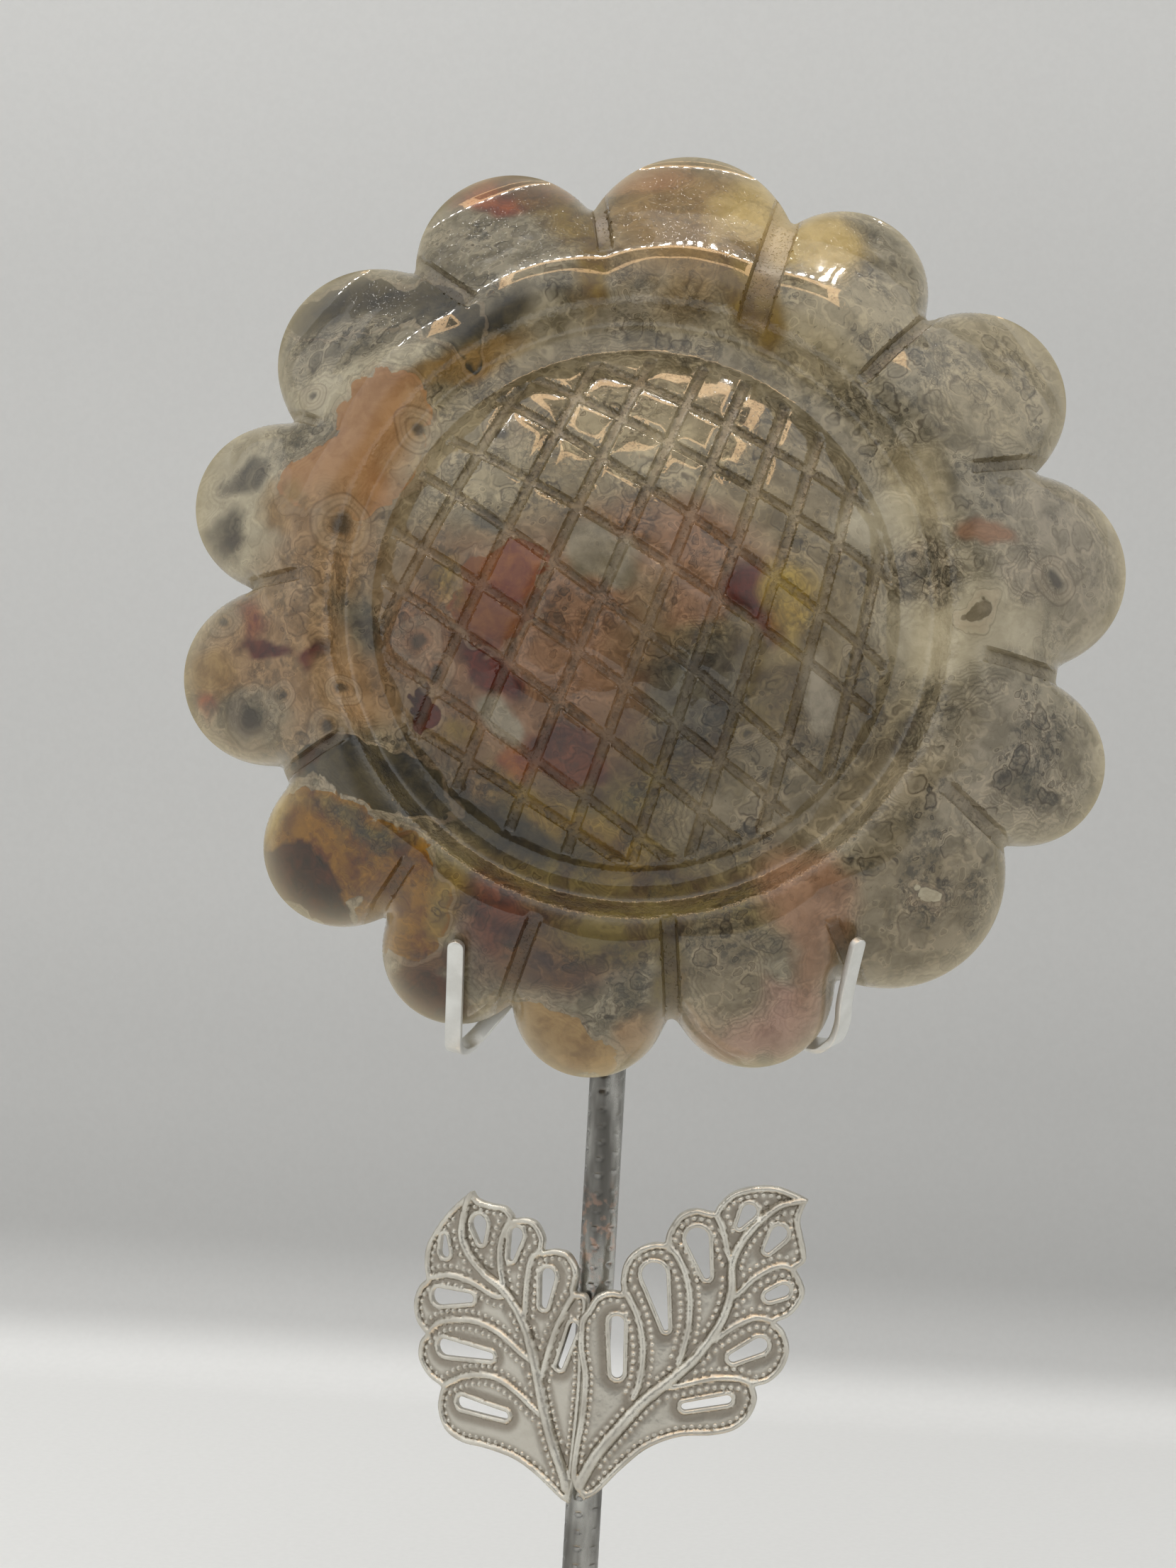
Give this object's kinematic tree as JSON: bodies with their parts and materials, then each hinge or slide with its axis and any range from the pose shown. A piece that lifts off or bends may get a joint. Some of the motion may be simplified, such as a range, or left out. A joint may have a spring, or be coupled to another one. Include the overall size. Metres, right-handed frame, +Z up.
{
  "type": "agate flower carving on a metal stand",
  "caption": "Sunflower carved from lace agate, with a crosshatched dome and round petals, held upright by bent strips on a stem with pierced metal leaves and a round foot.",
  "frame": {"origin": "centre of the round foot's underside", "axes": "+Z up, the flower faces -Y, +X to the viewer's right"},
  "size_m": [0.1142, 0.084, 0.2049],
  "materials": {
    "lace_agate": "polished, slightly translucent lace agate",
    "stand_metal": "satin",
    "stem_metal": "satin with small stamped dents",
    "strip_metal": "matt silver",
    "leaf_metal": "satin, embossed"
  },
  "bodies": {
    "root": {"agate_flower": "lace_agate", "base_disc": "stand_metal", "stem": "stem_metal", "holder_strip_left": "strip_metal", "holder_strip_right": "strip_metal", "leaf_left": "leaf_metal", "leaf_right": "leaf_metal"}
  },
  "joints": []
}
